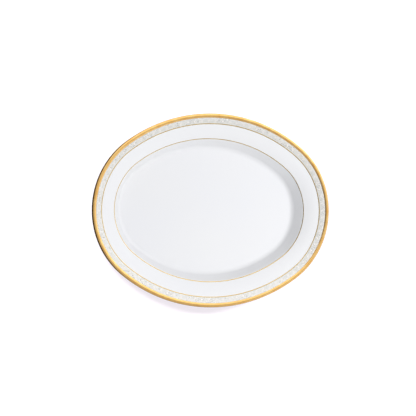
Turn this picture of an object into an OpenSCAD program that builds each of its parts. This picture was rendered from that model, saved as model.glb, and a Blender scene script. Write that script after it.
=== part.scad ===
// Oval porcelain serving platter with a wide flat rim, a rolled gilded lip, a printed lace border,
// two fine gold lines, a shallow well with a coved shoulder and a bare ground foot ring.
// All sizes are in millimetres. The foot stands on z = 0, the long way is along X and the well faces +Z.

/* [Overall size] */
// Length from lip to lip, the long way
platter_length = 356; // [330:1:430]
// Width from lip to lip, the short way
platter_width = 273; // [230:1:320]
// Height of the lip's crest above the table
platter_height = 32; // [28:0.5:45]

/* [Rim] */
// Width of the rim, from the outer edge to the break where the well begins
rim_width = 36.2; // [28:0.1:42]
// Slope of the rim just inside the lip, in degrees below level
rim_slope_outer = 8; // [2:1:14]
// Slope of the rim at the break, in degrees below level
rim_slope_inner = 26; // [16:1:34]
// Radius of the break between the rim and the wall of the well
break_radius = 2.5; // [1:0.5:5]
// Radius of the hollow corner under the break
under_radius = 4; // [2:0.5:8]

/* [Lip] */
// Radius of the lip's outer edge, above its widest line
lip_edge_radius = 2; // [1.4:0.1:2.4]
// Radius of the small hollow where the lip's bead runs into the rim
lip_hollow_radius = 1.2; // [0.6:0.1:2]

/* [Well] */
// Slope of the well's wall, in degrees below level
wall_slope = 54; // [46:1:64]
// Radius of the cove between the wall and the floor
cove_radius = 9; // [6:0.5:11]

/* [Clay and glaze] */
// Thickness of the rim behind the lip, glaze included
rim_thickness = 3.2; // [2.6:0.1:4.2]
// Thickness of the floor, glaze included
floor_thickness = 4.4; // [3.6:0.1:6]
// Thickness of the glaze
glaze_thickness = 0.3; // [0.2:0.05:0.5]

/* [Foot ring] */
// Height of the foot below the underside of the floor
foot_height = 2.6; // [1.6:0.1:4]
// Width of the foot
foot_width = 5; // [4:0.1:7]
// How far the foot's outer wall stands outside the edge of the flat floor
foot_reach = 3.5; // [1:0.1:6]
// Radius of the foot's two ground edges
foot_edge_radius = 0.8; // [0.3:0.1:1.2]

/* [Gilding and border] */
// Width of the gold on the lip
gold_width = 6; // [5:0.1:8]
// Thickness of the gold on the lip
gold_thickness = 0.15; // [0.1:0.01:0.25]
// Width of the printed border between the gilded lip and the outer line
border_width = 8; // [5:0.1:11]
// Thickness of the border's tinted ground
ground_thickness = 0.1; // [0.05:0.01:0.15]
// Bare ground left on each side of the lace
lace_margin = 0.8; // [0.4:0.1:1.5]
// Thickness of the lace on the ground
lace_thickness = 0.1; // [0.05:0.01:0.15]
// Width of the outer gold line
outer_line_width = 1.1; // [0.5:0.1:1.5]
// Width of the inner gold line, which ends at the break
inner_line_width = 1; // [0.5:0.1:1.5]
// Thickness of both gold lines
line_thickness = 0.1; // [0.05:0.01:0.15]

/* [Hidden] */
$fn = 120;

bisque_colour = [0.93, 0.91, 0.87];
foot_colour = [0.86, 0.82, 0.75];
glaze_colour = [0.97, 0.97, 0.98];
ground_colour = [0.80, 0.80, 0.77];
lace_colour = [0.96, 0.96, 0.94];
gold_colour = [0.85, 0.66, 0.33];

// Every size goes on a grid of a hundredth of a millimetre, so that layers that touch share their faces.
function grid(value) = round(value * 100) / 100;

// The oval is drawn with two end arcs and two side arcs. Their centres lie on a 3-4-5 triangle, so the
// arcs meet smoothly. Every ring of the platter keeps a constant distance, its inset, from the outer edge.
unit = grid((platter_length - platter_width) / 4);
end_centre = 3 * unit;
side_centre = 4 * unit;
end_radius = grid(platter_length / 2) - end_centre;
side_radius = end_radius + 5 * unit;
end_angle = 53.1301;

// Heights of the main surfaces.
crest = platter_height - gold_thickness;
floor_top = foot_height + floor_thickness;
clay_bottom = foot_height + glaze_thickness;
clay_top = floor_top - glaze_thickness;

// A station of the section is [inset, height, direction], where the direction is that of the surface's
// outward normal in degrees, with 180 outwards and 90 up. A negative radius makes a hollow arc.
function arc(centre, radius, from, to, steps) = [
  for (i = [0:steps])
    let (a = from + (to - from) * i / steps)
      [centre[0] + radius * cos(a), centre[1] + radius * sin(a), a]
];
function centre_of(point, radius) = [point[0] - radius * cos(point[2]), point[1] - radius * sin(point[2])];
function last(list) = list[len(list) - 1];
function spread(from, to, steps) = [for (i = [0:steps]) from + (to - from) * i / steps];
function shifted(stations, distance) = [
  for (s = stations) [grid(s[0] + distance * cos(s[2])), grid(s[1] + distance * sin(s[2]))]
];
function reversed(list) = [for (i = [len(list) - 1:-1:0]) list[i]];
function distinct(list) = [for (i = [0:len(list) - 1]) if (list[i] != list[(i + 1) % len(list)]) list[i]];

// The lip's bead: an outer edge, a flatter crown and a hollow that runs into the rim.
crown_start = 110;
crown_end = 60;
rim_start = 90 - rim_slope_outer;
crown_radius = (gold_width - gold_thickness - lip_edge_radius * (1 + cos(crown_start))
                - lip_hollow_radius * (cos(crown_end) - cos(rim_start))) / (cos(crown_end) - cos(crown_start));
crown_centre = [gold_thickness + lip_edge_radius + (lip_edge_radius - crown_radius) * cos(crown_start),
                crest - crown_radius];
crown = concat(arc(crown_centre, crown_radius, crown_start, 90, 1),
               arc(crown_centre, crown_radius, 75, crown_end, 1));
edge_centre = centre_of(crown[0], lip_edge_radius);
lip_edge = arc(edge_centre, lip_edge_radius, 180, 130, 2);
hollow = arc(centre_of(last(crown), -lip_hollow_radius), -lip_hollow_radius, 71, rim_start, 1);
lip = concat(lip_edge, crown, hollow);

// The rim is a shallow parabola between its two slopes.
rim_top = last(lip)[1];
rim_span = rim_width - gold_width;
function rim_fall(inset) = tan(rim_slope_outer)
  + (tan(rim_slope_inner) - tan(rim_slope_outer)) * (inset - gold_width) / rim_span;
function rim_station(inset) = [
  inset,
  rim_top - (inset - gold_width) * (rim_fall(inset) + tan(rim_slope_outer)) / 2,
  90 - atan(rim_fall(inset))
];
function rim(from, to, steps) = [for (w = spread(from, to, steps)) rim_station(w)];

lace_start = gold_width + lace_margin;
lace_end = gold_width + border_width - lace_margin;
outer_line_start = gold_width + border_width;
outer_line_end = outer_line_start + outer_line_width;
inner_line_start = rim_width - inner_line_width;

lace_rim = rim(lace_start, lace_end, 2);
border_rim = concat([rim_station(gold_width)], lace_rim, [rim_station(outer_line_start)]);
outer_line_rim = rim(outer_line_start, outer_line_end, 1);
plain_rim = rim(outer_line_end, inner_line_start, 4);
inner_line_rim = rim(inner_line_start, rim_width, 1);

// The break, the wall and the cove down to the floor.
break_top = last(inner_line_rim);
wall_normal = 90 - wall_slope;
rim_break = arc(centre_of(break_top, break_radius), break_radius, break_top[2], wall_normal, 3);
wall_top = last(rim_break);
cove_height = floor_top + cove_radius * (1 - cos(wall_slope));
wall_run = (wall_top[1] - cove_height) / tan(wall_slope);
cove_centre = [wall_top[0] + wall_run + cove_radius * sin(wall_slope), floor_top + cove_radius];
cove = arc(cove_centre, -cove_radius, wall_normal, 90, 6);
floor_edge = cove_centre[0];

// The foot, and the inset at which the rings end and the plain middle of the floor begins.
foot_outer = grid(floor_edge - foot_reach);
foot_inner = foot_outer + foot_width;
ring_end = foot_inner + 6;

// The whole upper surface of the glaze, from the platter's widest line inwards.
face = concat(lip, lace_rim, outer_line_rim, plain_rim, [last(inner_line_rim)],
              [for (i = [1:3]) rim_break[i]], cove, [[ring_end, floor_top, 90]]);

// The underside. The clay thickens from the rim to the floor.
function thickness(inset) =
  rim_thickness + (floor_thickness - rim_thickness) * (inset - gold_width) / rim_span;
function under(s) = [
  s[0] - thickness(s[0]) * cos(s[2]),
  s[1] - thickness(s[0]) * sin(s[2]),
  s[2] + 180
];
rim_under = [for (w = spread(gold_width, rim_width - floor_thickness, 5)) under(rim_station(w))];
lip_under_radius = edge_centre[1] - rim_under[0][1];
lip_under = arc([gold_thickness + lip_under_radius, edge_centre[1]], lip_under_radius, 180, 270, 3);

// The hollow corner under the break joins the line of the rim's underside to the line of the wall's.
corner_half = (wall_slope - rim_slope_inner) / 2;
corner_rim = under(break_top);
corner_wall = arc(cove_centre, cove_radius + floor_thickness, 270 - wall_slope, 270, 1)[0];
corner_run = ((corner_rim[1] - corner_wall[1]) + (corner_wall[0] - corner_rim[0]) * tan(-rim_slope_inner))
  / (tan(wall_slope) - tan(rim_slope_inner));
corner = [corner_wall[0] - corner_run, corner_wall[1] + corner_run * tan(wall_slope)];
corner_reach = under_radius * tan(corner_half);
corner_start = [
  corner[0] - corner_reach * cos(rim_slope_inner),
  corner[1] + corner_reach * sin(rim_slope_inner),
  270 - rim_slope_inner
];
corner_under = arc(centre_of(corner_start, -under_radius), -under_radius, 270 - rim_slope_inner,
                   270 - wall_slope, 3);

// The cove's underside, split where the outer wall of the foot meets it.
function foot_split(radius) = 180 + acos((cove_centre[0] - foot_outer) / radius);
function cove_under(radius) = arc(cove_centre, radius, 270 - wall_slope, foot_split(radius), 4);
function cove_over_foot(radius) = arc(cove_centre, radius, foot_split(radius), 270, 2);
under_path = concat(lip_under, rim_under, corner_under);
glaze_under_radius = cove_radius + floor_thickness;
clay_under_radius = glaze_under_radius - glaze_thickness;
clay_cove = shifted(cove_under(clay_under_radius), 0);
clay_over_foot = shifted(cove_over_foot(clay_under_radius), 0);
glaze_cove = shifted(cove_under(glaze_under_radius), 0);
clay_face = shifted(face, -glaze_thickness);
clay_under = shifted(under_path, -glaze_thickness);

// A sector of a ring, turned about its own centre.
module sector(radius, section, from, span) {
  rotate_extrude(angle = span, start = from)
    polygon([for (p = section) [radius - p[0], p[1]]]);
}

// One quarter of a ring: half of an end arc and half of a side arc.
module quarter_ring(section) {
  translate([end_centre, 0, 0])
    sector(end_radius, section, 0, end_angle);
  translate([0, -side_centre, 0])
    sector(side_radius, section, end_angle, 90 - end_angle);
}

// A closed oval ring with the given section, a list of [inset, height]. Repeated points are dropped.
module oval_ring(section) {
  for (flip_x = [0, 1], flip_y = [0, 1])
    mirror([flip_x, 0, 0])
      mirror([0, flip_y, 0])
        quarter_ring(distinct(section));
}

// The flat middle that closes a ring, hidden under its inner edge by a millimetre.
module oval_middle(inset, bottom, top) {
  half_end = [for (a = spread(0, end_angle, 10)) (end_radius - inset) * [cos(a), sin(a)] + [end_centre, 0]];
  half_side = [for (a = spread(end_angle, 90, 8)) (side_radius - inset) * [cos(a), sin(a)] - [0, side_centre]];
  quarter = concat(half_end, [for (i = [1:8]) half_side[i]]);
  half = concat(quarter, [for (i = [len(quarter) - 2:-1:0]) [-quarter[i][0], quarter[i][1]]]);
  translate([0, 0, bottom])
    linear_extrude(top - bottom)
      polygon(concat(half, [for (i = [len(half) - 2:-1:1]) [half[i][0], -half[i][1]]]));
}

// A thin layer on the glaze that covers the given stations.
module layer(stations, bottom, top) {
  oval_ring(concat(shifted(stations, top), reversed(shifted(stations, bottom))));
}

// The fired clay: rim, wall and floor.
module porcelain_body() {
  color(bisque_colour) {
    oval_ring(concat(clay_face, [[ring_end, clay_bottom]], reversed(clay_over_foot), reversed(clay_cove),
                     reversed(clay_under)));
    oval_middle(ring_end - 1, clay_bottom, clay_top);
  }
}

// The foot: bare clay, ground flat on the bottom.
module foot_ring() {
  inner_corner = [foot_inner - foot_edge_radius, foot_edge_radius];
  outer_corner = [foot_outer + foot_edge_radius, foot_edge_radius];
  color(foot_colour)
    oval_ring(concat(clay_over_foot, [[foot_inner, clay_bottom]],
                     shifted(arc(inner_corner, foot_edge_radius, 0, -90, 3), 0),
                     shifted(arc(outer_corner, foot_edge_radius, 270, 180, 3), 0)));
}

// The glaze on everything you see from above, carried round the lip and back to the foot.
module face_glaze() {
  color(glaze_colour) {
    oval_ring(concat(reversed(glaze_cove), reversed(shifted(under_path, 0)), shifted(face, 0),
                     reversed(clay_face), clay_under, clay_cove));
    oval_middle(ring_end - 1, clay_top, floor_top);
  }
}

// The glaze inside the foot.
module base_glaze() {
  color(glaze_colour) {
    oval_ring([[foot_inner, foot_height], [foot_inner, clay_bottom],
               [ring_end, clay_bottom], [ring_end, foot_height]]);
    oval_middle(ring_end - 1, foot_height, clay_bottom);
  }
}

// The border's tinted ground, from the gold to the outer line.
module border_ground() {
  color(ground_colour)
    layer(border_rim, 0, ground_thickness);
}

// The white lace printed over the ground, as the plain band it fills.
module border_lace() {
  color(lace_colour)
    layer(lace_rim, ground_thickness, ground_thickness + lace_thickness);
}

// The fine gold line between the border and the plain rim.
module outer_gold_line() {
  color(gold_colour)
    layer(outer_line_rim, 0, line_thickness);
}

// The fine gold line at the edge of the well.
module inner_gold_line() {
  color(gold_colour)
    layer(inner_line_rim, 0, line_thickness);
}

// The burnished gold on the lip.
module gold_lip_band() {
  color(gold_colour)
    layer(lip, 0, gold_thickness);
}

porcelain_body();
foot_ring();
face_glaze();
base_glaze();
border_ground();
border_lace();
outer_gold_line();
inner_gold_line();
gold_lip_band();
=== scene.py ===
"""Visual model of an oval gilded porcelain serving platter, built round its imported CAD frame."""

import logging
import math
from dataclasses import dataclass, field
from enum import Enum
from functools import cached_property

import bpy
import numpy as np
from mathutils import Matrix, Vector


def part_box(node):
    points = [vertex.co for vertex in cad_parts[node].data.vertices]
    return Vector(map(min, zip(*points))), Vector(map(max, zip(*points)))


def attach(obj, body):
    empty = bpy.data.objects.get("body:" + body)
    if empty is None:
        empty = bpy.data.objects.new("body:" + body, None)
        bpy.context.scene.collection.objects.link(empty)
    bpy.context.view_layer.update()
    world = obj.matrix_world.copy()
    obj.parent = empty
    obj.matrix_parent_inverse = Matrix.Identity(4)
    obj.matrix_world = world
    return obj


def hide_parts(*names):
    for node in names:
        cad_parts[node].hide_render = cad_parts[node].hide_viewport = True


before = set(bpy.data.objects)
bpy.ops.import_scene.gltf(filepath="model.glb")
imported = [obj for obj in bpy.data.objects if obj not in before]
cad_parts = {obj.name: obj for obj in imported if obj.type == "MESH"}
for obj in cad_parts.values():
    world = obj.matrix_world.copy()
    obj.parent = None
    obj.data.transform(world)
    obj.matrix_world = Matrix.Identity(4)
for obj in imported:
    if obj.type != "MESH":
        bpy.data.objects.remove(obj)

log = logging.getLogger("platter")

MM = 0.001
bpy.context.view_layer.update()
ROOT = "root"
Colour = tuple[float, float, float]
Field = bpy.types.NodeSocket


class Layer(Enum):
    """The CAD nodes, one for each layer that the platter is made of."""

    CLAY = "porcelain_body"
    FOOT = "foot_ring"
    FACE_GLAZE = "face_glaze"
    BASE_GLAZE = "base_glaze"
    GROUND = "border_ground"
    LACE = "border_lace"
    OUTER_LINE = "outer_gold_line"
    INNER_LINE = "inner_gold_line"
    LIP_GOLD = "gold_lip_band"


class Slot(Enum):
    """The record's material slots."""

    BISQUE = "bisque"
    FOOT = "ground_foot"
    GLAZE = "glaze"
    TINT = "border_tint"
    ENAMEL = "lace_enamel"
    GOLD = "gold"


class Tint(Enum):
    """The lace's three colours, as the value that its points carry."""

    CREAM = 0.0
    LEAF = 0.5
    PETAL = 1.0


# Finishes


class TreeSheet:
    """A node tree, with short calls for its nodes and its arithmetic."""

    def __init__(self, tree: bpy.types.NodeTree) -> None:
        """Work on one tree."""
        self.tree = tree

    def feed(self, value: object, socket: Field) -> None:
        """Give a socket a plain value or a link.

        Args:
            value: A number, a vector or another socket.
            socket: The input it goes to.
        """
        if isinstance(value, bpy.types.NodeSocket):
            self.tree.links.new(value, socket)
        else:
            socket.default_value = value

    def node(self, kind: str, inputs: dict[str, object] | None = None, **settings: object) -> bpy.types.Node:
        """Add a node.

        Args:
            kind: Its type.
            inputs: Values or sockets for its inputs by name.
            settings: Its properties.

        Returns:
            The node.
        """
        made = self.tree.nodes.new(kind)
        for name, value in settings.items():
            setattr(made, name, value)
        for name, value in (inputs or {}).items():
            self.feed(value, made.inputs[name])
        return made

    def sum(self, operation: str, *values: object) -> Field:
        """Do one piece of arithmetic.

        Args:
            operation: The Math node's operation.
            values: Its numbers or sockets.

        Returns:
            The socket with the result.
        """
        made = self.node("ShaderNodeMath", operation=operation)
        for value, socket in zip(values, made.inputs):
            self.feed(value, socket)
        return made.outputs[0]

    def remap(self, value: Field, low: float, high: float, to_low: float, to_high: float,
              **settings: object) -> Field:
        """Stretch a value from the range low to high into another one, and clamp it."""
        ends = {"From Min": low, "From Max": high, "To Min": to_low, "To Max": to_high}
        return self.node("ShaderNodeMapRange", {"Value": value, **ends}, **settings).outputs["Result"]


class ShaderSheet(TreeSheet):
    """A material's node tree, with short calls for the nodes that the finishes share."""

    def __init__(self, name: str) -> None:
        """Start a material with one Principled shader.

        Args:
            name: The material's name.
        """
        self.material = bpy.data.materials.new(name)
        self.material.use_nodes = True
        super().__init__(self.material.node_tree)
        self.shader = self.tree.nodes["Principled BSDF"]
        self.place = self.node("ShaderNodeTexCoord").outputs["Object"]

    def set(self, **values: float | Colour) -> None:
        """Set plain values on the shader.

        Args:
            values: Socket names, with underscores for spaces, and their values.
        """
        for name, value in values.items():
            socket = self.shader.inputs[name.replace("_", " ")]
            socket.default_value = (*value, 1.0) if isinstance(value, tuple) else value

    def link(self, output: Field, name: str) -> None:
        """Feed one of the shader's inputs by name."""
        self.tree.links.new(output, self.shader.inputs[name])

    def noise(self, size: float, detail: float = 2.0, roughness: float = 0.5) -> Field:
        """Add a noise pattern on the piece's own place.

        Args:
            size: Size of a patch, in metres.
            detail: Number of finer layers.
            roughness: Strength of the finer layers.

        Returns:
            The socket with the noise's value.
        """
        grain = {"Scale": 1.0 / size, "Detail": detail, "Roughness": roughness, "Vector": self.place}
        return self.node("ShaderNodeTexNoise", grain).outputs["Fac"]

    def specks(self, spacing: float, radius: float) -> Field:
        """Add small round specks.

        Args:
            spacing: Distance between specks, in metres.
            radius: Radius of a speck as a share of that distance.

        Returns:
            A socket that is 1 in a speck and 0 outside.
        """
        cells = self.node("ShaderNodeTexVoronoi", {"Scale": 1.0 / spacing, "Vector": self.place})
        return self.remap(cells.outputs["Distance"], radius, 0.4 * radius, 0.0, 1.0)

    def mix(self, share: Field, first: Colour | Field, second: Colour | Field) -> Field:
        """Mix two colours.

        Args:
            share: Socket with the second colour's share.
            first: The colour at 0.
            second: The colour at 1.

        Returns:
            The socket with the mixed colour.
        """
        made = self.node("ShaderNodeMix", {"Factor": share}, data_type="RGBA")
        for socket, colour in ((made.inputs[6], first), (made.inputs[7], second)):
            self.feed((*colour, 1.0) if isinstance(colour, tuple) else colour, socket)
        return made.outputs[2]

    def bump(self, height: Field, depth: float, under: Field | None = None) -> Field:
        """Turn a height into a bump.

        Args:
            height: Socket with the height, from 0 to 1.
            depth: Height of a full step, in metres.
            under: A bump that this one lies on.

        Returns:
            The socket with the normal.
        """
        made = self.node("ShaderNodeBump", {"Distance": depth, "Height": height})
        if under is not None:
            self.feed(under, made.inputs["Normal"])
        return made.outputs["Normal"]


@dataclass(frozen=True)
class GlazeFinish:
    """Clear glossy glaze over cool white porcelain, with a faint slow waviness."""

    white: Colour = (0.735, 0.740, 0.765)
    warm: Colour = (0.745, 0.748, 0.762)
    roughness: float = 0.10

    def build(self) -> bpy.types.Material:
        """Make the material.

        Returns:
            The material.
        """
        sheet = ShaderSheet("porcelain_glaze")
        sheet.set(IOR=1.5, Coat_Weight=0.3, Coat_Roughness=0.04, Coat_IOR=1.5)
        cloud = sheet.noise(0.12, 1.0)
        sheet.link(sheet.mix(sheet.remap(cloud, 0.3, 0.7, 0.0, 1.0), self.white, self.warm), "Base Color")
        sheet.link(sheet.remap(cloud, 0.3, 0.7, self.roughness, self.roughness + 0.04), "Roughness")
        wave = sheet.bump(sheet.noise(0.045, 0.0), 0.00005)
        sheet.link(sheet.bump(sheet.noise(0.0035, 1.0), 0.000001, wave), "Normal")
        return sheet.material


@dataclass(frozen=True)
class BisqueFinish:
    """Fired porcelain without glaze: matte, finely grained and sparsely specked."""

    name: str
    pale: Colour
    dark: Colour
    roughness: float

    def build(self) -> bpy.types.Material:
        """Make the material.

        Returns:
            The material.
        """
        sheet = ShaderSheet(self.name)
        sheet.set(IOR=1.5, Specular_IOR_Level=0.35)
        grain = sheet.noise(0.0006, 3.0, 0.6)
        body = sheet.mix(sheet.remap(sheet.noise(0.018, 3.0), 0.35, 0.7, 0.0, 1.0), self.pale, self.dark)
        speck = tuple(0.55 * c for c in self.dark)
        sheet.link(sheet.mix(sheet.specks(0.0055, 0.05), body, speck), "Base Color")
        sheet.link(sheet.remap(grain, 0.3, 0.7, self.roughness - 0.08, self.roughness + 0.08), "Roughness")
        sheet.link(sheet.bump(grain, 0.00004), "Normal")
        return sheet.material


@dataclass(frozen=True)
class GroundFinish:
    """The border's printed ground: pale pearly grey, stippled and unevenly washed."""

    pale: Colour = (0.715, 0.71, 0.69)
    dark: Colour = (0.52, 0.515, 0.50)
    lustre: float = 0.45
    roughness: float = 0.24

    def build(self) -> bpy.types.Material:
        """Make the material.

        Returns:
            The material.
        """
        sheet = ShaderSheet("printed_tint")
        sheet.set(IOR=1.5, Metallic=self.lustre, Coat_Weight=0.2, Coat_Roughness=0.08)
        dots = sheet.noise(0.0009, 1.0, 0.4)
        wash = sheet.noise(0.009, 2.0)
        tone = sheet.mix(sheet.remap(dots, 0.38, 0.62, 0.0, 1.0), self.pale, self.dark)
        sheet.link(sheet.mix(sheet.remap(wash, 0.35, 0.75, 0.0, 0.5), tone, self.pale), "Base Color")
        sheet.link(sheet.remap(wash, 0.3, 0.7, self.roughness, self.roughness + 0.12), "Roughness")
        sheet.link(sheet.bump(dots, 0.00001), "Normal")
        return sheet.material


@dataclass(frozen=True)
class EnamelFinish:
    """The lace's raised enamel: cream cords, grey-green leaves and faint pink petals."""

    cream: Colour = (0.83, 0.82, 0.78)
    leaf: Colour = (0.65, 0.64, 0.57)
    petal: Colour = (0.80, 0.74, 0.71)
    roughness: float = 0.2

    def build(self) -> bpy.types.Material:
        """Make the material.

        Returns:
            The material.
        """
        sheet = ShaderSheet("lace_enamel")
        sheet.set(IOR=1.5, Coat_Weight=0.25, Coat_Roughness=0.06)
        carried = sheet.tree.nodes.new("ShaderNodeAttribute")
        carried.attribute_name = LaceMotif.TINT
        tint = carried.outputs["Fac"]
        to_leaf = sheet.remap(tint, Tint.CREAM.value, Tint.LEAF.value, 0.0, 1.0)
        to_petal = sheet.remap(tint, Tint.LEAF.value, Tint.PETAL.value, 0.0, 1.0)
        full = sheet.mix(to_petal, sheet.mix(to_leaf, self.cream, self.leaf), self.petal)
        grain = sheet.noise(0.0005, 2.0)
        shade = sheet.remap(grain, 0.3, 0.7, 0.0, 0.3)
        sheet.link(sheet.mix(shade, full, tuple(0.86 * c for c in self.cream)), "Base Color")
        sheet.link(sheet.remap(grain, 0.3, 0.7, self.roughness, self.roughness + 0.1), "Roughness")
        sheet.link(sheet.bump(grain, 0.000008), "Normal")
        return sheet.material


@dataclass(frozen=True)
class GoldFinish:
    """Burnished gilding: bright gold with fine rubbing marks and slightly deeper places."""

    name: str
    deep: Colour = (0.78, 0.42, 0.10)
    bright: Colour = (0.88, 0.57, 0.20)
    roughness: float = 0.15

    def build(self) -> bpy.types.Material:
        """Make the material.

        Returns:
            The material.
        """
        sheet = ShaderSheet(self.name)
        sheet.set(Metallic=1.0, Coat_Weight=0.8, Coat_Roughness=0.10, Coat_IOR=1.5)
        patch = sheet.noise(0.011, 3.0, 0.6)
        rub = sheet.noise(0.0011, 3.0, 0.6)
        sheet.link(sheet.mix(sheet.remap(patch, 0.3, 0.7, 0.0, 1.0), self.deep, self.bright), "Base Color")
        sheet.link(sheet.remap(rub, 0.3, 0.7, self.roughness - 0.05, self.roughness + 0.09), "Roughness")
        sheet.link(sheet.bump(rub, 0.000006, sheet.bump(patch, 0.00003)), "Normal")
        return sheet.material


# The platter's plan and section


def arc(centre: np.ndarray, radius: float, start: float, end: float, steps: int) -> np.ndarray:
    """Draw an arc, hollow if its radius is negative, between two directions of the normal in degrees."""
    turn = np.radians(np.linspace(start, end, steps + 1))
    return np.column_stack([centre[0] + radius * np.cos(turn), centre[1] + radius * np.sin(turn), turn])


def centre_of(station: np.ndarray, radius: float) -> np.ndarray:
    """Find the centre of an arc that passes through a station."""
    return station[:2] - radius * np.array([math.cos(station[2]), math.sin(station[2])])


def shifted(stations: np.ndarray, distance: float | np.ndarray) -> np.ndarray:
    """Move stations of [inset, height, direction] along their normals, to points of [inset, height]."""
    normals = np.column_stack([np.cos(stations[:, 2]), np.sin(stations[:, 2])])
    return stations[:, :2] + np.reshape(distance, (-1, 1)) * normals


@dataclass
class PlatterSection:
    """The platter's section, from its outer edge inwards, with the same sizes as the CAD model.

    Attributes:
        height: Height of the lip's crest above the table, in metres, as are all the sizes.
    """

    height: float
    rim_width: float = 36.2 * MM
    rim_slope_outer: float = 8.0
    rim_slope_inner: float = 26.0
    break_radius: float = 2.5 * MM
    under_radius: float = 4.0 * MM
    lip_edge_radius: float = 2.0 * MM
    lip_hollow_radius: float = 1.2 * MM
    wall_slope: float = 54.0
    cove_radius: float = 9.0 * MM
    rim_thickness: float = 3.2 * MM
    floor_thickness: float = 4.4 * MM
    glaze_thickness: float = 0.3 * MM
    foot_height: float = 2.6 * MM
    foot_width: float = 5.0 * MM
    foot_reach: float = 3.5 * MM
    foot_edge_radius: float = 0.8 * MM
    gold_width: float = 6.0 * MM
    gold_thickness: float = 0.15 * MM
    border_width: float = 8.0 * MM
    ground_thickness: float = 0.1 * MM
    lace_margin: float = 0.8 * MM
    lace_thickness: float = 0.1 * MM
    outer_line_width: float = 1.1 * MM
    inner_line_width: float = 1.0 * MM
    line_thickness: float = 0.1 * MM

    CROWN_START = 110.0
    CROWN_END = 60.0
    MIDDLE_MARGIN = 6.0 * MM

    def __post_init__(self) -> None:
        """Work out the heights of the main surfaces."""
        self.floor_top = self.foot_height + self.floor_thickness
        self.clay_bottom = self.foot_height + self.glaze_thickness
        self.clay_top = self.floor_top - self.glaze_thickness
        self.outer_line_start = self.gold_width + self.border_width
        self.outer_line_end = self.outer_line_start + self.outer_line_width
        self.inner_line_start = self.rim_width - self.inner_line_width

    @cached_property
    def lip(self) -> np.ndarray:
        """The lip's bead: a round outer edge, a flatter crown and a hollow that runs into the rim.

        Returns:
            The stations.
        """
        rim_start = 90.0 - self.rim_slope_outer
        start, end, meet = (math.cos(math.radians(a)) for a in (self.CROWN_START, self.CROWN_END, rim_start))
        edge = self.lip_edge_radius
        radius = (self.gold_width - self.gold_thickness - edge * (1 + start)
                  - self.lip_hollow_radius * (end - meet)) / (end - start)
        centre = np.array([self.gold_thickness + edge + (edge - radius) * start,
                           self.height - self.gold_thickness - radius])
        crown = arc(centre, radius, self.CROWN_START, self.CROWN_END, 14)
        outer = arc(centre_of(crown[0], edge), edge, 180.0, self.CROWN_START, 10)
        hollow_centre = centre_of(crown[-1], -self.lip_hollow_radius)
        hollow = arc(hollow_centre, -self.lip_hollow_radius, self.CROWN_END, rim_start, 5)
        return np.vstack([outer[:-1], crown, hollow[1:]])

    def rim(self, start: float, end: float, steps: int) -> np.ndarray:
        """Follow the rim, a shallow parabola between its two slopes.

        Args:
            start: Inset at the start.
            end: Inset at the end.
            steps: Number of steps.

        Returns:
            The stations.
        """
        inset = np.linspace(start, end, steps + 1)
        outer, inner = (math.tan(math.radians(a)) for a in (self.rim_slope_outer, self.rim_slope_inner))
        run = inset - self.gold_width
        fall = outer + (inner - outer) * run / (self.rim_width - self.gold_width)
        level = self.lip[-1, 1] - run * (fall + outer) / 2
        return np.column_stack([inset, level, math.pi / 2 - np.arctan(fall)])

    @cached_property
    def rim_break(self) -> np.ndarray:
        """The rounded break between the rim and the wall of the well.

        Returns:
            The stations.
        """
        top = self.rim(self.gold_width, self.rim_width, 1)[-1]
        start = math.degrees(top[2])
        return arc(centre_of(top, self.break_radius), self.break_radius, start, 90.0 - self.wall_slope, 8)

    @cached_property
    def cove_centre(self) -> np.ndarray:
        """Centre of the cove between the wall and the floor.

        Returns:
            The centre as [inset, height].
        """
        slope = math.radians(self.wall_slope)
        top = self.rim_break[-1]
        cove_height = self.floor_top + self.cove_radius * (1 - math.cos(slope))
        inset = top[0] + (top[1] - cove_height) / math.tan(slope) + self.cove_radius * math.sin(slope)
        return np.array([inset, self.floor_top + self.cove_radius])

    @property
    def foot_outer(self) -> float:
        """Inset of the foot's outer wall."""
        return self.cove_centre[0] - self.foot_reach

    @property
    def foot_inner(self) -> float:
        """Inset of the foot's inner wall."""
        return self.foot_outer + self.foot_width

    @property
    def ring_end(self) -> float:
        """Inset at which the parallel rings end and the plain middle begins."""
        return self.foot_inner + self.MIDDLE_MARGIN

    @cached_property
    def face(self) -> np.ndarray:
        """The glaze's whole upper surface, from the widest line to the plain middle.

        Returns:
            The stations.
        """
        cove = arc(self.cove_centre, -self.cove_radius, 90.0 - self.wall_slope, 90.0, 14)
        rim = self.rim(self.gold_width, self.rim_width, 30)
        middle = np.array([[self.ring_end, self.floor_top, math.pi / 2]])
        return np.vstack([self.lip, rim[1:], self.rim_break[1:], cove, middle])

    def under(self, stations: np.ndarray) -> np.ndarray:
        """Find the underside below stations of the rim, where the clay thickens inwards.

        Args:
            stations: Stations of the upper surface.

        Returns:
            Stations of the underside.
        """
        share = (stations[:, 0] - self.gold_width) / (self.rim_width - self.gold_width)
        thickness = self.rim_thickness + (self.floor_thickness - self.rim_thickness) * share
        return np.column_stack([shifted(stations, -thickness), stations[:, 2] + math.pi])

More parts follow.
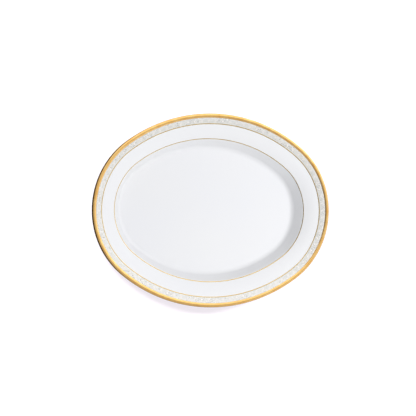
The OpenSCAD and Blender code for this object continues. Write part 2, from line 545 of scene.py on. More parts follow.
    @cached_property
    def underside(self) -> np.ndarray:
        """The underside from the widest line to the top of the cove's underside.

        Returns:
            The stations.
        """
        rim = self.under(self.rim(self.gold_width, self.rim_width - self.floor_thickness, 20))
        widest = self.lip[0, 1]
        lip_radius = widest - rim[0, 1]
        lip = arc(np.array([self.gold_thickness + lip_radius, widest]), lip_radius, 180.0, 270.0, 8)
        slope, wall = math.radians(self.rim_slope_inner), math.radians(self.wall_slope)
        under_rim = self.under(self.rim_break[:1])[0]
        under_wall = arc(self.cove_centre, self.under_cove, 270.0 - self.wall_slope, 270.0, 1)[0]
        run = ((under_rim[1] - under_wall[1]) + (under_wall[0] - under_rim[0]) * math.tan(-slope))
        run /= math.tan(wall) - math.tan(slope)
        corner = np.array([under_wall[0] - run, under_wall[1] + run * math.tan(wall)])
        reach = self.under_radius * math.tan((wall - slope) / 2)
        start = np.array([corner[0] - reach * math.cos(slope), corner[1] + reach * math.sin(slope),
                          1.5 * math.pi - slope])
        hollow = arc(centre_of(start, -self.under_radius), -self.under_radius,
                     270.0 - self.rim_slope_inner, 270.0 - self.wall_slope, 8)
        return np.vstack([lip, rim[1:], hollow])

    @property
    def under_cove(self) -> float:
        """Radius of the cove's underside, glaze included."""
        return self.cove_radius + self.floor_thickness

    def cove_under(self, radius: float, over_foot: bool) -> np.ndarray:
        """Follow the cove's underside, on either side of the foot's outer wall.

        Args:
            radius: Radius of the underside.
            over_foot: Whether this is the part over the foot.

        Returns:
            Points of [inset, height].
        """
        split = 180.0 + math.degrees(math.acos(self.foot_reach / radius))
        span = (split, 270.0, 6) if over_foot else (270.0 - self.wall_slope, split, 10)
        return arc(self.cove_centre, radius, *span)[:, :2]

    @property
    def clay_under_cove(self) -> float:
        """Radius of the cove's underside in the clay."""
        return self.under_cove - self.glaze_thickness

    def middle(self, level: float, outwards: bool) -> np.ndarray:
        """Close a ring with the plain middle of the floor.

        Args:
            level: Height of the middle.
            outwards: Whether to run from the centre to the ring, or the other way.

        Returns:
            Points of [inset, height, scale], where scale draws the innermost ring in to the centre.
        """
        scale = np.linspace(0.0, 1.0, 13)[:-1]
        rows = np.column_stack([np.full(12, self.ring_end), np.full(12, level), scale])
        return rows if outwards else rows[::-1]

    def coat(self, stations: np.ndarray, bottom: float, thickness: float, sharpness: float) -> np.ndarray:
        """Wrap a thin layer round stations, with its edges drawn down to nothing.

        Args:
            stations: The glaze's surface under the layer.
            bottom: Distance of the layer's underside from the glaze.
            thickness: The layer's full thickness.
            sharpness: How long the full thickness is kept, as an even power.

        Returns:
            Points of [inset, height] round the closed section.
        """
        across = np.linspace(-1.0, 1.0, len(stations))
        top = bottom + thickness * (1 - np.abs(across) ** sharpness)
        return np.vstack([shifted(stations, top), shifted(stations, bottom)[-2:0:-1]])

    def clay_section(self) -> np.ndarray:
        """Section of the fired clay, from the centre of its top to the centre of its bottom.

        Returns:
            Points of [inset, height, scale].
        """
        ring = [shifted(self.face, -self.glaze_thickness)[::-1],
                shifted(self.underside, -self.glaze_thickness),
                self.cove_under(self.clay_under_cove, False), self.cove_under(self.clay_under_cove, True)[1:],
                [[self.ring_end, self.clay_bottom]]]
        return self.with_middles(ring, self.clay_top, self.clay_bottom)

    def face_glaze_section(self) -> np.ndarray:
        """Section of the glaze over the face, round the lip and back to the foot.

        Returns:
            Points of [inset, height, scale].
        """
        ring = [self.face[::-1, :2], self.underside[:, :2], self.cove_under(self.under_cove, False),
                self.cove_under(self.clay_under_cove, False)[::-1],
                shifted(self.underside, -self.glaze_thickness)[::-1],
                shifted(self.face, -self.glaze_thickness)]
        return self.with_middles(ring, self.floor_top, self.clay_top)

    def base_glaze_section(self) -> np.ndarray:
        """Section of the glaze inside the foot."""
        ring = [[[self.ring_end, self.clay_bottom], [self.foot_inner, self.clay_bottom],
                 [self.foot_inner, self.foot_height], [self.ring_end, self.foot_height]]]
        return self.with_middles(ring, self.clay_bottom, self.foot_height)

    def with_middles(self, ring: list, top: float, bottom: float) -> np.ndarray:
        """Add the plain middles to a section that starts and ends at the innermost ring.

        Args:
            ring: Parts of the section, points of [inset, height].
            top: Height of the first middle.
            bottom: Height of the last middle.

        Returns:
            Points of [inset, height, scale].
        """
        points = np.vstack(ring)
        full = np.column_stack([points, np.ones(len(points))])
        return np.vstack([self.middle(top, True), full, self.middle(bottom, False)])

    def foot_section(self) -> np.ndarray:
        """Closed section of the foot, ground flat between two rounded edges.

        Returns:
            Points of [inset, height].
        """
        radius = self.foot_edge_radius
        inner = arc(np.array([self.foot_inner - radius, radius]), radius, 0.0, -90.0, 6)
        outer = arc(np.array([self.foot_outer + radius, radius]), radius, 270.0, 180.0, 6)
        return np.vstack([self.cove_under(self.clay_under_cove, True), [[self.foot_inner, self.clay_bottom]],
                          inner[:, :2], outer[:, :2]])

    def ground_section(self) -> np.ndarray:
        """Closed section of the border's ground."""
        return self.coat(self.rim(self.gold_width, self.outer_line_start, 16), 0.0, self.ground_thickness, 16)

    def outer_line_section(self) -> np.ndarray:
        """Closed section of the outer gold line."""
        return self.coat(self.rim(self.outer_line_start, self.outer_line_end, 6), 0.0, self.line_thickness, 4)

    def inner_line_section(self) -> np.ndarray:
        """Closed section of the inner gold line."""
        return self.coat(self.rim(self.inner_line_start, self.rim_width, 6), 0.0, self.line_thickness, 4)

    def lip_gold_section(self) -> np.ndarray:
        """Closed section of the gold on the lip."""
        return np.vstack([shifted(self.lip, self.gold_thickness), shifted(self.lip, 0.0)[::-1]])


# Geometry Nodes


class NodeSheet(TreeSheet):
    """A Geometry Nodes tree, with short calls for its named inputs and its arithmetic."""

    def __init__(self, name: str) -> None:
        """Start a tree that takes a geometry and gives one.

        Args:
            name: The tree's name.
        """
        super().__init__(bpy.data.node_groups.new(name, "GeometryNodeTree"))
        for way in ("INPUT", "OUTPUT"):
            self.tree.interface.new_socket("Geometry", in_out=way, socket_type="NodeSocketGeometry")
        self.inputs = self.tree.nodes.new("NodeGroupInput")
        self.output = self.tree.nodes.new("NodeGroupOutput")

    @property
    def geometry(self) -> Field:
        """The geometry that goes into the tree."""
        return self.inputs.outputs["Geometry"]

    def ask(self, name: str, kind: str) -> Field:
        """Add a named input of the kind Float, Int or Material."""
        self.tree.interface.new_socket(name, in_out="INPUT", socket_type=f"NodeSocket{kind}")
        return self.inputs.outputs[name]

    def vector(self, x: object, y: object, z: object) -> Field:
        """Join three numbers or sockets into a vector."""
        return self.node("ShaderNodeCombineXYZ", {"X": x, "Y": y, "Z": z}).outputs[0]

    def split(self, vector: Field) -> list[Field]:
        """Take a vector apart into the sockets of its three numbers."""
        return list(self.node("ShaderNodeSeparateXYZ", {"Vector": vector}).outputs)

    def finish(self, geometry: Field, material: Field) -> bpy.types.NodeTree:
        """End the tree in Realize Instances and Set Material.

        Args:
            geometry: What the tree made.
            material: The socket with its material.

        Returns:
            The finished tree.
        """
        real = self.node("GeometryNodeRealizeInstances", {"Geometry": geometry})
        dressed = self.node("GeometryNodeSetMaterial",
                            {"Geometry": real.outputs["Geometry"], "Material": material})
        self.feed(dressed.outputs["Geometry"], self.output.inputs["Geometry"])
        return self.tree


@dataclass(frozen=True)
class OvalPlace:
    """Fields that give a place on the platter's edge.

    Attributes:
        centre_x: The centre of the arc it lies on, along X.
        centre_y: The centre of the arc it lies on, along Y.
        radius: The arc's radius at the outer edge.
        out_x: Direction outwards, along X.
        out_y: Direction outwards, along Y.
    """

    centre_x: Field
    centre_y: Field
    radius: Field
    out_x: Field
    out_y: Field

    def at(self, sheet: NodeSheet, inset: object, level: object, scale: object = 1.0) -> Field:
        """Find the point at an inset from the edge.

        Args:
            sheet: The tree to add nodes to.
            inset: Distance inwards from the outer edge.
            level: Height of the point.
            scale: How far the point is drawn in to the platter's centre, from 1 to 0.

        Returns:
            The socket with the point.
        """
        reach = sheet.sum("SUBTRACT", self.radius, inset)
        x = sheet.sum("MULTIPLY_ADD", self.out_x, reach, self.centre_x)
        y = sheet.sum("MULTIPLY_ADD", self.out_y, reach, self.centre_y)
        return sheet.vector(sheet.sum("MULTIPLY", x, scale), sheet.sum("MULTIPLY", y, scale), level)


@dataclass(frozen=True)
class OvalPlan:
    """The platter's outline: two end arcs and two side arcs, with their centres on a 3-4-5 triangle.

    Attributes:
        length: Length over the lip, in metres.
        width: Width over the lip, in metres.
    """

    length: float
    width: float

    END_ANGLE = math.atan2(4.0, 3.0)

    @property
    def unit(self) -> float:
        """The triangle's unit."""
        return (self.length - self.width) / 4

    def perimeter(self, inset: float) -> float:
        """Length of the way round at an inset.

        Args:
            inset: Distance inwards from the outer edge.

        Returns:
            The length in metres.
        """
        end_radius = self.length / 2 - 3 * self.unit
        side_radius = end_radius + 5 * self.unit
        outer = 4 * (end_radius * self.END_ANGLE + side_radius * (math.pi / 2 - self.END_ANGLE))
        return outer - 2 * math.pi * inset

    def inputs(self) -> dict[str, float]:
        """The named inputs that place() asks for."""
        return {"Platter Length": self.length, "Platter Width": self.width}

    def place(self, sheet: NodeSheet, turn: Field) -> OvalPlace:
        """Add the nodes that find a place on the outline.

        Args:
            sheet: The tree, which gets the platter's length and width as named inputs.
            turn: Share of the way round, from 0 at the +X end.

        Returns:
            The place.
        """
        length = sheet.ask("Platter Length", "Float")
        width = sheet.ask("Platter Width", "Float")
        unit = sheet.sum("DIVIDE", sheet.sum("SUBTRACT", length, width), 4.0)
        end_centre = sheet.sum("MULTIPLY", unit, 3.0)
        end_radius = sheet.sum("SUBTRACT", sheet.sum("DIVIDE", length, 2.0), end_centre)
        side_radius = sheet.sum("MULTIPLY_ADD", unit, 5.0, end_radius)
        end_run = sheet.sum("MULTIPLY", end_radius, self.END_ANGLE)
        side_run = sheet.sum("MULTIPLY", side_radius, math.pi / 2 - self.END_ANGLE)
        # The way round is folded into its first quarter, and the signs are put back afterwards.
        folded = sheet.sum("PINGPONG", sheet.sum("MULTIPLY", turn, 4.0), 1.0)
        run = sheet.sum("MULTIPLY", folded, sheet.sum("ADD", end_run, side_run))
        on_side = sheet.sum("GREATER_THAN", run, end_run)
        on_end = sheet.sum("SUBTRACT", 1.0, on_side)
        end_part = sheet.sum("DIVIDE", sheet.sum("MINIMUM", run, end_run), end_radius)
        past_end = sheet.sum("MAXIMUM", sheet.sum("SUBTRACT", run, end_run), 0.0)
        angle = sheet.sum("ADD", end_part, sheet.sum("DIVIDE", past_end, side_radius))
        on_left = sheet.sum("COMPARE", turn, 0.5, 0.25)
        sign_x = sheet.sum("MULTIPLY_ADD", on_left, -2.0, 1.0)
        sign_y = sheet.sum("MULTIPLY_ADD", sheet.sum("GREATER_THAN", turn, 0.5), -2.0, 1.0)
        side_centre = sheet.sum("MULTIPLY", sheet.sum("MULTIPLY", unit, -4.0), on_side)
        return OvalPlace(
            centre_x=sheet.sum("MULTIPLY", sheet.sum("MULTIPLY", end_centre, on_end), sign_x),
            centre_y=sheet.sum("MULTIPLY", side_centre, sign_y),
            radius=sheet.sum("MULTIPLY_ADD", sheet.sum("SUBTRACT", side_radius, end_radius),
                             on_side, end_radius),
            out_x=sheet.sum("MULTIPLY", sheet.sum("COSINE", angle), sign_x),
            out_y=sheet.sum("MULTIPLY", sheet.sum("SINE", angle), sign_y),
        )


def bake(name: str, source: bpy.types.Mesh, tree: bpy.types.NodeTree,
         values: dict[str, object]) -> bpy.types.Object:
    """Run a tree on a mesh and keep the result as a plain object at the origin.

    Args:
        name: The new object's name.
        source: The mesh that goes into the tree.
        tree: The tree.
        values: The tree's inputs by name.

    Returns:
        The finished object, without a modifier.
    """
    maker = bpy.data.objects.new(f"{name}_maker", source)
    bpy.context.scene.collection.objects.link(maker)
    modifier = maker.modifiers.new("maker", "NODES")
    modifier.node_group = tree
    for item in tree.interface.items_tree:
        if item.item_type == "SOCKET" and item.in_out == "INPUT" and item.name in values:
            modifier[item.identifier] = values[item.name]
    bpy.context.view_layer.update()
    mesh = bpy.data.meshes.new_from_object(maker.evaluated_get(bpy.context.evaluated_depsgraph_get()))
    mesh.name = name
    maker.modifiers.remove(modifier)
    bpy.data.objects.remove(maker)
    made = bpy.data.objects.new(name, mesh)
    bpy.context.scene.collection.objects.link(made)
    return made


def finish_surface(mesh: bpy.types.Mesh, crease: float = math.radians(32.0)) -> None:
    """Turn a closed mesh's faces outwards and shade it smooth, except at its creases.

    Args:
        mesh: The mesh.
        crease: Angle above which an edge stays sharp.
    """
    mesh.calc_loop_triangles()
    corners = np.empty(3 * len(mesh.loop_triangles), dtype=np.int32)
    mesh.loop_triangles.foreach_get("vertices", corners)
    places = np.empty(3 * len(mesh.vertices))
    mesh.vertices.foreach_get("co", places)
    a, b, c = np.moveaxis(places.reshape(-1, 3)[corners.reshape(-1, 3)], 1, 0)
    if np.einsum("ij,ij->", a, np.cross(b, c)) < 0:
        mesh.flip_normals()
    mesh.shade_smooth()
    mesh.set_sharp_from_angle(angle=crease)
    mesh.update()


class OvalSweep:
    """A Geometry Nodes tree that sweeps a closed section round the platter's outline."""

    MERGE = 1e-7

    def __init__(self, plan: OvalPlan) -> None:
        """Build the tree.

        Args:
            plan: The platter's outline.
        """
        self.plan = plan
        sheet = NodeSheet("oval_sweep")
        steps = sheet.ask("Steps", "Int")
        material = sheet.ask("Material", "Material")
        size = sheet.node("GeometryNodeAttributeDomainSize", {"Geometry": sheet.geometry}, component="MESH")
        count = size.outputs["Point Count"]
        grid = sheet.node("GeometryNodeMeshGrid",
                          {"Vertices X": sheet.sum("ADD", steps, 1.0), "Vertices Y": count})
        index = sheet.node("GeometryNodeInputIndex").outputs[0]
        step = sheet.sum("FLOOR", sheet.sum("DIVIDE", sheet.sum("ADD", index, 0.5), count))
        station = sheet.sum("SUBTRACT", index, sheet.sum("MULTIPLY", step, count))
        here = sheet.node("GeometryNodeInputPosition").outputs[0]
        sample = sheet.node("GeometryNodeSampleIndex", data_type="FLOAT_VECTOR", domain="POINT")
        sheet.feed(sheet.geometry, sample.inputs["Geometry"])
        sheet.feed(here, sample.inputs["Value"])
        sheet.feed(station, sample.inputs["Index"])
        inset, level, scale = sheet.split(sample.outputs["Value"])
        place = plan.place(sheet, sheet.sum("DIVIDE", step, steps))
        moved = sheet.node("GeometryNodeSetPosition", {
            "Geometry": grid.outputs["Mesh"],
            "Position": place.at(sheet, inset, level, scale),
        })
        joined = sheet.node("GeometryNodeMergeByDistance",
                            {"Geometry": moved.outputs["Geometry"], "Distance": self.MERGE})
        self.tree = sheet.finish(joined.outputs["Geometry"], material)

    def make(self, name: str, section: np.ndarray, material: bpy.types.Material,
             steps: int) -> bpy.types.Object:
        """Sweep one section.

        Args:
            name: The piece's name.
            section: Points of [inset, height] round a closed section, or of [inset, height, scale]
                from one centre to the other.
            material: The piece's material.
            steps: Number of steps round the outline.

        Returns:
            The piece.
        """
        if section.shape[1] == 2:
            section = np.column_stack([np.vstack([section, section[:1]]), np.ones(len(section) + 1)])
        source = bpy.data.meshes.new(f"{name}_section")
        source.from_pydata(section.tolist(), [], [])
        made = bake(name, source, self.tree, {"Steps": steps, "Material": material, **self.plan.inputs()})
        finish_surface(made.data)
        return made


class RimWrap:
    """A Geometry Nodes tree that repeats a flat motif round the border and lays it on the rim."""

    def __init__(self, plan: OvalPlan, section: PlatterSection) -> None:
        """Build the tree.

        Args:
            plan: The platter's outline.
            section: The platter's section.
        """
        self.plan = plan
        self.section = section
        sheet = NodeSheet("rim_wrap")
        repeats = sheet.ask("Repeats", "Int")
        material = sheet.ask("Material", "Material")
        rim_top = sheet.ask("Rim Top", "Float")
        rim_start = sheet.ask("Rim Start", "Float")
        rim_span = sheet.ask("Rim Span", "Float")
        fall_outer = sheet.ask("Outer Fall", "Float")
        fall_inner = sheet.ask("Inner Fall", "Float")
        row = sheet.node("GeometryNodeMeshLine", {"Count": repeats, "Offset": (1.0, 0.0, 0.0)})
        laid = sheet.node("GeometryNodeInstanceOnPoints",
                          {"Points": row.outputs["Mesh"], "Instance": sheet.geometry})
        flat = sheet.node("GeometryNodeRealizeInstances", {"Geometry": laid.outputs["Instances"]})
        along, inset, lift = sheet.split(sheet.node("GeometryNodeInputPosition").outputs[0])
        run = sheet.sum("SUBTRACT", inset, rim_start)
        growth = sheet.sum("DIVIDE", sheet.sum("SUBTRACT", fall_inner, fall_outer), rim_span)
        fall = sheet.sum("MULTIPLY_ADD", growth, run, fall_outer)
        drop = sheet.sum("MULTIPLY", run, sheet.sum("DIVIDE", sheet.sum("ADD", fall, fall_outer), 2.0))
        slope = sheet.sum("ARCTANGENT", fall)
        lifted_inset = sheet.sum("MULTIPLY_ADD", lift, sheet.sum("SINE", slope), inset)
        level = sheet.sum("MULTIPLY_ADD", lift, sheet.sum("COSINE", slope),
                          sheet.sum("SUBTRACT", rim_top, drop))
        place = plan.place(sheet, sheet.sum("DIVIDE", along, repeats))
        moved = sheet.node("GeometryNodeSetPosition", {
            "Geometry": flat.outputs["Geometry"],
            "Position": place.at(sheet, lifted_inset, level),
        })
        self.tree = sheet.finish(moved.outputs["Geometry"], material)

    def make(self, name: str, motif: bpy.types.Mesh, repeats: int,
             material: bpy.types.Material) -> bpy.types.Object:
        """Repeat one motif round the border.

        Args:
            name: The piece's name.
            motif: The motif, with one repeat as its unit along X, the inset along Y and the lift along Z.
            repeats: Number of repeats.
            material: The piece's material.

        Returns:
            The piece.
        """
        section = self.section
        made = bake(name, motif, self.tree, {
            "Repeats": repeats,
            "Material": material,
            "Rim Top": float(section.lip[-1, 1]),
            "Rim Start": section.gold_width,
            "Rim Span": section.rim_width - section.gold_width,
            "Outer Fall": math.tan(math.radians(section.rim_slope_outer)),
            "Inner Fall": math.tan(math.radians(section.rim_slope_inner)),
            **self.plan.inputs(),
        })
        finish_surface(made.data)
        return made


# The lace's motif


@dataclass
class LaceMotif:
    """One repeat of the lace: a scalloped cord, a flower on a waving stem, leaves and pearls.

    Attributes:
        pitch: Length of one repeat, in metres.
        start: Inset of the lace's outer edge.
        end: Inset of the lace's inner edge.
        base: Lift of the lace's underside above the glaze.
        relief: Height of the lace over its ground.
    """

    pitch: float
    start: float
    end: float
    base: float
    relief: float
    cord: float = 0.42 * MM
    stem: float = 0.30 * MM
    petal_length: float = 1.35 * MM
    leaf_length: float = 1.45 * MM
    pearl: float = 0.50 * MM
    scallop_sag: float = 1.15 * MM
    pearl_drop: float = 0.75 * MM
    stem_shift: float = 0.55 * MM
    stem_wave: float = 0.85 * MM
    heart_radius: float = 0.32 * MM
    petal_width: float = 0.95 * MM
    flower_gap: float = 1.9 * MM
    leaf_width: float = 0.62 * MM
    edge_cord: float = 0.24 * MM
    edge_pearl_gap: float = 0.5 * MM
    points: list = field(default_factory=list)
    faces: list = field(default_factory=list)
    tints: list = field(default_factory=list)

    TINT = "lace_tint"

    def stroke(self, path: np.ndarray, widths: np.ndarray, tint: Tint) -> None:
        """Add a closed low ridge along a path.

        Args:
            path: Points of [along, inset] in metres.
            widths: Width at each point.
            tint: The stroke's colour.
        """
        way = np.gradient(path, axis=0)
        across = np.column_stack([-way[:, 1], way[:, 0]]) / np.linalg.norm(way, axis=1)[:, None]
        half = across * widths[:, None] / 2
        crest = self.base + self.relief * np.minimum(1.0, widths / widths.max())
        first = len(self.points)
        for here, side, top in zip(path, half, crest):
            for place, lift in ((here + side, self.base), (here, top), (here - side, self.base)):
                self.points.append((place[0] / self.pitch, place[1], lift))
        for ring in range(len(path) - 1):
            low = first + 3 * ring
            for corner in range(3):
                after = (corner + 1) % 3
                self.faces.append((low + corner, low + after, low + 3 + after, low + 3 + corner))
        last = first + 3 * (len(path) - 1)
        self.faces += [(first + 2, first + 1, first), (last, last + 1, last + 2)]
        self.tints += [tint.value] * (3 * len(path))

    def blade(self, root: np.ndarray, turn: float, length: float, width: float, bend: float,
              tint: Tint) -> None:
        """Add a petal or a leaf: a stroke that swells and tapers.

        Args:
            root: Where it grows from.
            turn: Its direction in radians.
            length: Its length.
            width: Its greatest width.
            bend: How far its tip turns, in radians.
            tint: Its colour.
        """
        share = np.linspace(0.0, 1.0, 6)
        angle = turn + bend * share
        path = root + length * share[:, None] * np.column_stack([np.cos(angle), np.sin(angle)])
        self.stroke(path, width * np.maximum(0.12, np.sin(math.pi * share ** 0.8)), tint)

    def pearls(self, centres: np.ndarray, tint: Tint) -> None:
        """Add round pearls.

        Args:
            centres: Points of [along, inset].
            tint: Their colour.
        """
        share = np.linspace(-1.0, 1.0, 6)
        widths = self.pearl * np.maximum(0.3, np.sqrt(1 - share ** 2))
        for centre in centres:
            path = centre + np.column_stack([share * self.pearl / 2, np.zeros(6)])
            self.stroke(path, widths, tint)

    def scallop(self) -> None:
        """Add the cord that hangs in scallops from the outer edge, with pearls under it."""
        share = np.linspace(0.0, 1.0, 13)
        top = self.start + self.cord / 2
        sag = self.scallop_sag * np.sin(math.pi * share)
        self.stroke(np.column_stack([share * self.pitch, top + sag]), np.full(13, self.cord), Tint.CREAM)
        beads = np.linspace(0.0, 1.0, 6)[1:-1]
        hang = top + self.scallop_sag * np.sin(math.pi * beads) + self.pearl_drop
        self.pearls(np.column_stack([beads * self.pitch, hang]), Tint.CREAM)

    def stem_at(self, share: np.ndarray) -> np.ndarray:
        """Follow the waving stem.

        Args:
            share: Share of one repeat.

        Returns:
            Points of [along, inset].
        """
        middle = (self.start + self.end) / 2 + self.stem_shift
        wave = self.stem_wave * np.sin(2 * math.pi * share)
        return np.column_stack([share * self.pitch, middle + wave])

    def flower(self) -> None:
        """Add the five-petalled flower and its heart."""
        heart = self.stem_at(np.array([0.5]))[0]
        for turn in np.arange(5) * math.tau / 5 + math.pi / 2:
            root = heart + self.heart_radius * np.array([math.cos(turn), math.sin(turn)])
            self.blade(root, turn, self.petal_length, self.petal_width, 0.0, Tint.PETAL)
        self.pearls(heart[None, :], Tint.CREAM)

    def leaves(self) -> None:
        """Add the stem's two halves and the leaves that grow from it."""
        gap = self.flower_gap / self.pitch
        for begin, finish in ((0.0, 0.5 - gap), (0.5 + gap, 1.0)):
            share = np.linspace(begin, finish, 7)
            self.stroke(self.stem_at(share), np.full(7, self.stem), Tint.LEAF)
        for share, turn, bend in ((0.08, 1.0, -0.5), (0.17, -0.9, 0.5), (0.25, 0.8, -0.4),
                                  (0.75, 4.0, -0.4), (0.83, 2.2, 0.5), (0.93, 4.1, -0.5)):
            root = self.stem_at(np.array([share]))[0]
            self.blade(root, turn, self.leaf_length, self.leaf_width, bend, Tint.LEAF)

    def edging(self) -> None:
        """Add the inner edge's fine cord and the row of pearls beside it."""
        share = np.linspace(0.0, 1.0, 5)
        level = self.end - self.edge_cord / 2
        cord = np.column_stack([share * self.pitch, np.full(5, level)])
        self.stroke(cord, np.full(5, self.edge_cord), Tint.CREAM)
        beads = (np.arange(8) + 0.5) / 8
        centres = np.column_stack([beads * self.pitch, np.full(8, level - self.edge_pearl_gap)])
        self.pearls(centres, Tint.CREAM)

    def mesh(self) -> bpy.types.Mesh:
        """Draw the motif.

        Returns:
            The motif's mesh, with its tints as a point attribute.
        """
        self.scallop()
        self.flower()
        self.leaves()
        self.edging()
        mesh = bpy.data.meshes.new("lace_motif")
        mesh.from_pydata(self.points, [], self.faces)
        mesh.attributes.new(self.TINT, "FLOAT", "POINT").data.foreach_set("value", self.tints)
        return mesh


# Sub-assemblies


def register(piece: bpy.types.Object, layer: Layer) -> None:
    """Let a piece stand for its CAD node.

    Args:
        piece: The piece.
        layer: The CAD node.
    """
    low, high = (np.array(corner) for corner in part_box(layer.value))
    corners = np.empty(3 * len(piece.data.vertices))
    piece.data.vertices.foreach_get("co", corners)
    corners = corners.reshape(-1, 3)
    gap = max(np.abs(corners.min(axis=0) - low).max(), np.abs(corners.max(axis=0) - high).max())
    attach(piece, ROOT)
    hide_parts(layer.value)
    log.info("%s: %d faces, within %.2f mm of %s", piece.name, len(piece.data.polygons), gap / MM,
             layer.value)


@dataclass
class Assembly:
    """Swept pieces that share the platter's outline and section."""

    sweep: OvalSweep
    section: PlatterSection
    steps: int = 480

    def add(self, name: str, section: np.ndarray, finish: bpy.types.Material, layer: Layer,
            slot: Slot) -> None:
        """Sweep one piece and let it stand for its CAD node."""
        register(self.sweep.make(name, section, finish, self.steps), layer)


@dataclass
class Body(Assembly):
    """The fired clay and its foot."""

    steps: int = 384

    def build(self) -> None:
        """Make the clay and the foot."""
        bisque = BisqueFinish("bisque", (0.84, 0.81, 0.75), (0.78, 0.74, 0.67), 0.72).build()
        ground = BisqueFinish("ground_foot", (0.74, 0.70, 0.62), (0.62, 0.56, 0.47), 0.82).build()
        self.add("fired_clay", self.section.clay_section(), bisque, Layer.CLAY, Slot.BISQUE)
        self.add("foot", self.section.foot_section(), ground, Layer.FOOT, Slot.FOOT)


@dataclass
class Glazing(Assembly):
    """The glaze over the face and the glaze inside the foot."""

    def build(self) -> None:
        """Make both glazes."""
        finish = GlazeFinish().build()
        self.add("face_glaze_coat", self.section.face_glaze_section(), finish, Layer.FACE_GLAZE, Slot.GLAZE)
        self.add("base_glaze_coat", self.section.base_glaze_section(), finish, Layer.BASE_GLAZE, Slot.GLAZE)


@dataclass
class Border(Assembly):
    """The printed ground and the raised lace on it."""

    repeat: float = 10.4 * MM

    def build(self) -> None:
        """Make the ground and the lace."""
        section = self.section
        self.add("printed_ground", section.ground_section(), GroundFinish().build(), Layer.GROUND, Slot.TINT)
        start = section.gold_width + section.lace_margin
        end = section.outer_line_start - section.lace_margin
        way_round = self.sweep.plan.perimeter((start + end) / 2)
        repeats = round(way_round / self.repeat)
        motif = LaceMotif(way_round / repeats, start, end, section.ground_thickness, section.lace_thickness)
        wrap = RimWrap(self.sweep.plan, section)
        lace = wrap.make("printed_lace", motif.mesh(), repeats, EnamelFinish().build())
        register(lace, Layer.LACE)


@dataclass
class Gilding(Assembly):
    """The gold on the lip and the two fine gold lines."""

    def build(self) -> None:
        """Make the three pieces of gold."""
        section = self.section
        burnished = GoldFinish("lip_gold").build()
        drawn = GoldFinish("line_gold", (0.54, 0.36, 0.09), (0.64, 0.45, 0.12), 0.22).build()
        self.add("lip_gilding", section.lip_gold_section(), burnished, Layer.LIP_GOLD, Slot.GOLD)
        self.add("outer_line_gilding", section.outer_line_section(), drawn, Layer.OUTER_LINE, Slot.GOLD)
        self.add("inner_line_gilding", section.inner_line_section(), drawn, Layer.INNER_LINE, Slot.GOLD)


# Studio


@dataclass(frozen=True)
class Lamp:
    """A soft round light that points at the platter and isn't seen in its glaze or gold.

    Attributes:
        name: Its name.
        place: Where it hangs.
        size: Its diameter.
        power: Its power in watts.
        on_floor: Whether it lights only the floor, or everything else.
    """

    name: str
    place: tuple[float, float, float]
    size: float
    power: float
    on_floor: bool

    def hang(self, floor: bpy.types.Object) -> None:
        """Hang the light.

        Args:
            floor: The floor, which it lights alone or leaves out.
        """
        light = bpy.data.lights.new(self.name, "AREA")
        light.shape = "DISK"
        light.size = self.size
        light.energy = self.power
        lamp = bpy.data.objects.new(self.name, light)
        lamp.location = self.place
        lamp.rotation_euler = (-Vector(self.place)).to_track_quat("-Z", "Y").to_euler()
        lamp.visible_glossy = False
        bpy.context.scene.collection.objects.link(lamp)
        lit = bpy.data.collections.new(f"{self.name}_lights")
        lit.objects.link(floor)
        lit.collection_objects[0].light_linking.link_state = "INCLUDE" if self.on_floor else "EXCLUDE"
        lamp.light_linking.receiver_collection = lit


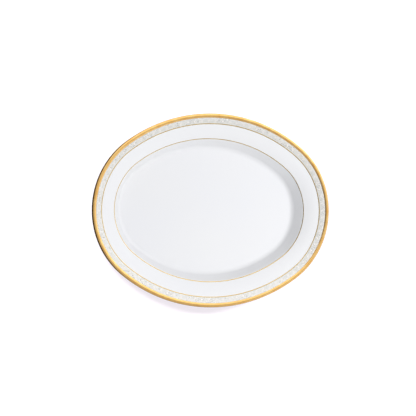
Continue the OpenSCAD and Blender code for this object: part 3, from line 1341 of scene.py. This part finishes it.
@dataclass
class Studio:
    """The floor, the soft room that the glaze and gold reflect, soft lights and the camera."""

    floor_size: float = 6.0
    floor_glow: float = 0.665
    floor_white: float = 0.30
    room: float = 0.95
    dark_side: float = 0.10
    ambient: float = 0.60
    side_power: float = 9.4
    fill_power: float = 2.4
    left_power: float = 20.0
    right_power: float = 20.0
    yaw: float = 0.359431
    pitch: float = 0.022661
    roll: float = -0.039179
    distance: float = 4.0
    lens: float = 244.5
    offset_right: float = 0.00470
    offset_up: float = 0.00250

    def build(self) -> None:
        """Set up the floor, the lights and the camera."""
        floor = self.lay_floor()
        self.light_room()
        for lamp in (
            Lamp("side", (0.62, 0.0, 1.0), 0.9, self.side_power, False),
            Lamp("fill", (-0.7, -0.8, 0.9), 0.9, self.fill_power, False),
            Lamp("floor_left", (-0.70, 0.34, 1.1), 0.3, self.left_power, True),
            Lamp("floor_right", (0.70, 0.34, 1.1), 0.3, self.right_power, True),
        ):
            lamp.hang(floor)
        self.place_camera()
        bpy.context.scene.view_settings.view_transform = "Standard"

    def lay_floor(self) -> bpy.types.Object:
        """Lay a white sheet that glows faintly, so that it stays white with a soft shadow on it.

        Returns:
            The floor.
        """
        half = self.floor_size / 2
        mesh = bpy.data.meshes.new("floor")
        mesh.from_pydata([(-half, -half, 0), (half, -half, 0), (half, half, 0), (-half, half, 0)], [],
                         [(0, 1, 2, 3)])
        floor = bpy.data.objects.new("floor", mesh)
        bpy.context.scene.collection.objects.link(floor)
        sheet = ShaderSheet("floor_paper")
        white = (self.floor_white, 0.97 * self.floor_white, self.floor_white)
        sheet.set(Base_Color=white, Roughness=1.0, Specular_IOR_Level=0.0,
                  Emission_Color=(1.0, 0.94, 1.0), Emission_Strength=self.floor_glow)
        mesh.materials.append(sheet.material)
        floor.visible_glossy = False
        return floor

    def light_room(self) -> None:
        """Surround the platter with even soft light, and show its gloss a room with a dark side at -X."""
        world = bpy.data.worlds.new("soft_room")
        bpy.context.scene.world = world
        world.use_nodes = True
        room = TreeSheet(world.node_tree)
        background = room.tree.nodes["Background"]
        background.inputs["Color"].default_value = (0.985, 0.99, 1.0, 1.0)
        direction = room.node("ShaderNodeTexCoord").outputs["Generated"]
        x, y, z = room.node("ShaderNodeSeparateXYZ", {"Vector": direction}).outputs
        soft = {"interpolation_type": "SMOOTHSTEP"}
        bright_sides = room.sum("ADD", room.remap(x, 0.25, 0.75, 0.0, 0.45, **soft),
                                room.remap(y, -0.10, 0.45, 0.72, 1.55, **soft))
        above = room.sum("MULTIPLY", bright_sides, room.remap(z, -0.3, 0.2, 0.6, 1.0, **soft))
        shade = room.remap(x, -0.52, -0.05, self.dark_side * self.room, self.room, **soft)
        reflected = room.sum("MULTIPLY", above, shade)
        glossy = room.node("ShaderNodeLightPath").outputs["Is Glossy Ray"]
        gloss = room.node("ShaderNodeMix", {"Factor": glossy, "A": self.ambient, "B": reflected})
        room.feed(gloss.outputs["Result"], background.inputs["Strength"])

    def place_camera(self) -> None:
        """Look down on the platter from a little to its -X side."""
        turn = (Matrix.Rotation(self.roll, 3, "Z") @ Matrix.Rotation(self.pitch, 3, "X")
                @ Matrix.Rotation(self.yaw, 3, "Y"))
        right, up, back = turn[0], turn[1], turn[2]
        camera = bpy.data.cameras.new("camera")
        camera.lens = self.lens
        camera.sensor_width = 36.0
        viewer = bpy.data.objects.new("camera", camera)
        spot = self.distance * back + self.offset_right * right + self.offset_up * up
        viewer.matrix_world = Matrix.Translation(spot) @ turn.transposed().to_4x4()
        bpy.context.scene.collection.objects.link(viewer)
        bpy.context.scene.camera = viewer


def main() -> None:
    """Build the platter, its studio and its camera."""
    low, high = (Vector(corner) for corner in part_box(Layer.LIP_GOLD.value))
    plan = OvalPlan(high.x - low.x, high.y - low.y)
    section = PlatterSection(high.z)
    sweep = OvalSweep(plan)
    Studio().build()
    for assembly in (Body, Glazing, Border, Gilding):
        assembly(sweep, section).build()


if __name__ == "__main__":
    logging.basicConfig(level=logging.INFO, format="%(message)s")
    main()
